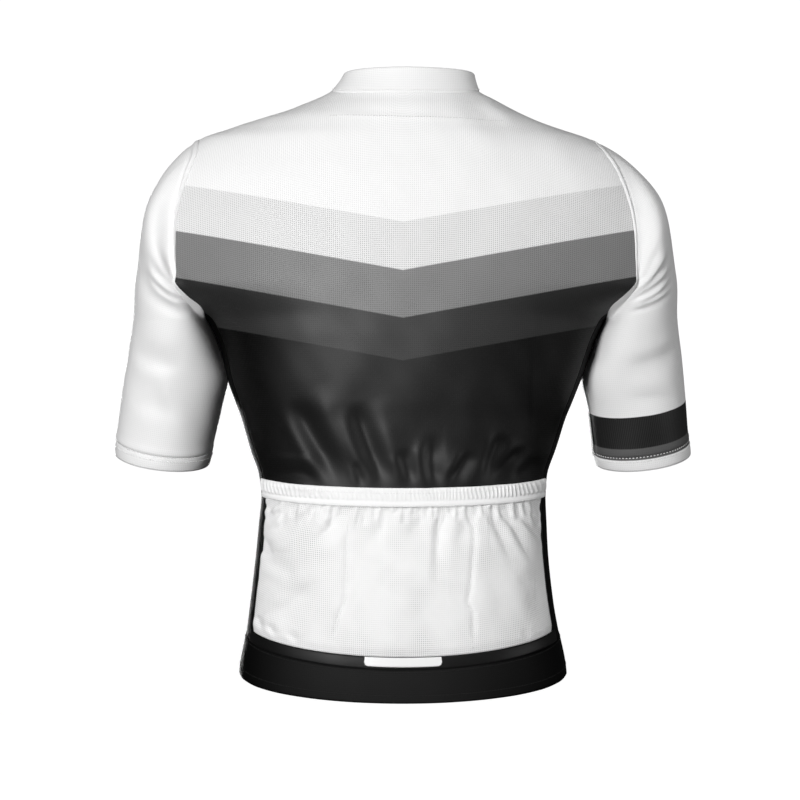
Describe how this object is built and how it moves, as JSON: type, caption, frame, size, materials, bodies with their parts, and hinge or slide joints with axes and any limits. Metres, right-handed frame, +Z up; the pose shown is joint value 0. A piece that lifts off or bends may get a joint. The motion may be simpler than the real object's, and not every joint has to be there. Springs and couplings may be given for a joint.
{
  "type": "short-sleeved cycling jersey",
  "caption": "Short-sleeved cycling jersey in its worn form, with a stand collar, rear pockets under an elastic band, a front zip, a gripper hem and a fading chevron print.",
  "frame": {"origin": "middle of the neck opening at the height of the neck seam at the sides, where the wearer's neck and shoulders hold the garment", "axes": "+Z up, -Y towards the front of the garment, +X towards the wearer's left"},
  "size_m": [0.611, 0.2414, 0.6515],
  "materials": {
    "printed_knit": "matt polyester knit, white above and black below a chevron of fading greys",
    "white_knit": "matt fine white knit",
    "white_mesh": "matt white mesh knit",
    "white_elastic": "ribbed white elastic",
    "black_knit": "matt black knit",
    "black_satin": "black satin tape with a soft sheen",
    "reflective": "pale reflective film on fabric",
    "zip_plastic": "black coil teeth",
    "zip_metal": "black lacquered metal"
  },
  "bodies": {
    "garment": {"back_panel": "printed_knit", "front_left": "printed_knit", "front_right": "printed_knit", "side_panel_left": "black_knit", "side_panel_right": "black_knit", "sleeve_left": "white_knit", "sleeve_right": "white_knit", "sleeve_hem_left": "white_knit", "sleeve_hem_right": "white_knit", "collar": "white_knit", "hem_band": "black_knit", "pocket_bag": "white_mesh", "pocket_band": "white_elastic", "satin_tape": "black_satin", "reflective_strip": "reflective", "zip_tape_left": "black_knit", "zip_tape_right": "black_knit", "zip_chain": "zip_plastic", "zip_slider": "zip_metal"},
    "pull_tab": {"zip_pull_tab": "zip_metal"}
  },
  "joints": [
    {"name": "pull_tab_hinge", "type": "hinge", "parent": "garment", "child": "pull_tab", "pos_m": [0, -0.07993, -0.04643], "axis": [-1, 0, 0], "range_deg": [0, 165]}
  ]
}
